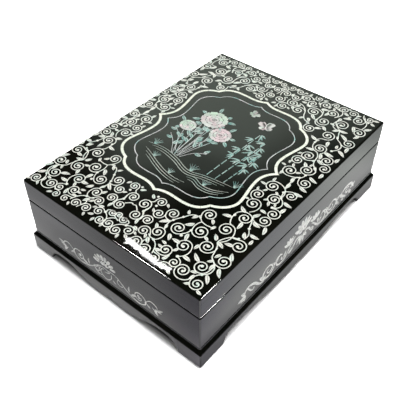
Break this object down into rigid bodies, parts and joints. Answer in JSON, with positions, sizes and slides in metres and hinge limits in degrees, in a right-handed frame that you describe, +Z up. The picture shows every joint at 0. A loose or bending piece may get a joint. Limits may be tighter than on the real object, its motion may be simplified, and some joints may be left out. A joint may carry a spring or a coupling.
{
  "type": "document box",
  "caption": "Black lacquered wooden document box with shell inlay, a lift-off lid located by an inner liner, and a low bracket base.",
  "frame": {"origin": "middle of the box's plan, at the level that the feet stand on", "axes": "+Z up, +Y from the front to the back along the long side, +X to the right seen from the front"},
  "size_m": [0.257, 0.352, 0.1065],
  "materials": {
    "black_lacquer": "high gloss black lacquer over wood",
    "shell_inlay": "iridescent shell polished flush with the lacquer",
    "lining_cloth": "short pile cloth over board",
    "bare_wood": "sawn, unfinished",
    "foot_felt": "pressed felt"
  },
  "bodies": {
    "box": {"box_wall_front": "black_lacquer", "box_wall_right": "black_lacquer", "box_wall_back": "black_lacquer", "box_wall_left": "black_lacquer", "liner_front": "black_lacquer", "liner_right": "black_lacquer", "liner_back": "black_lacquer", "liner_left": "black_lacquer", "floor_lining": "lining_cloth", "base_board": "black_lacquer", "apron_front": "black_lacquer", "apron_right": "black_lacquer", "apron_back": "black_lacquer", "apron_left": "black_lacquer", "corner_block_front_left": "bare_wood", "corner_block_front_right": "bare_wood", "corner_block_back_left": "bare_wood", "corner_block_back_right": "bare_wood", "foot_pad_front_left": "foot_felt", "foot_pad_front_right": "foot_felt", "foot_pad_back_left": "foot_felt", "foot_pad_back_right": "foot_felt"},
    "lid": {"lid_top_panel": "black_lacquer", "lid_rim_front": "black_lacquer", "lid_rim_right": "black_lacquer", "lid_rim_back": "black_lacquer", "lid_rim_left": "black_lacquer", "lid_lining": "lining_cloth", "lid_cartouche_band": "shell_inlay", "lid_cartouche_line": "shell_inlay"}
  },
  "joints": [
    {"name": "lid_lift", "type": "slide", "parent": "box", "child": "lid", "axis": [0, 0, 1], "range_m": [0, 0.12]}
  ]
}
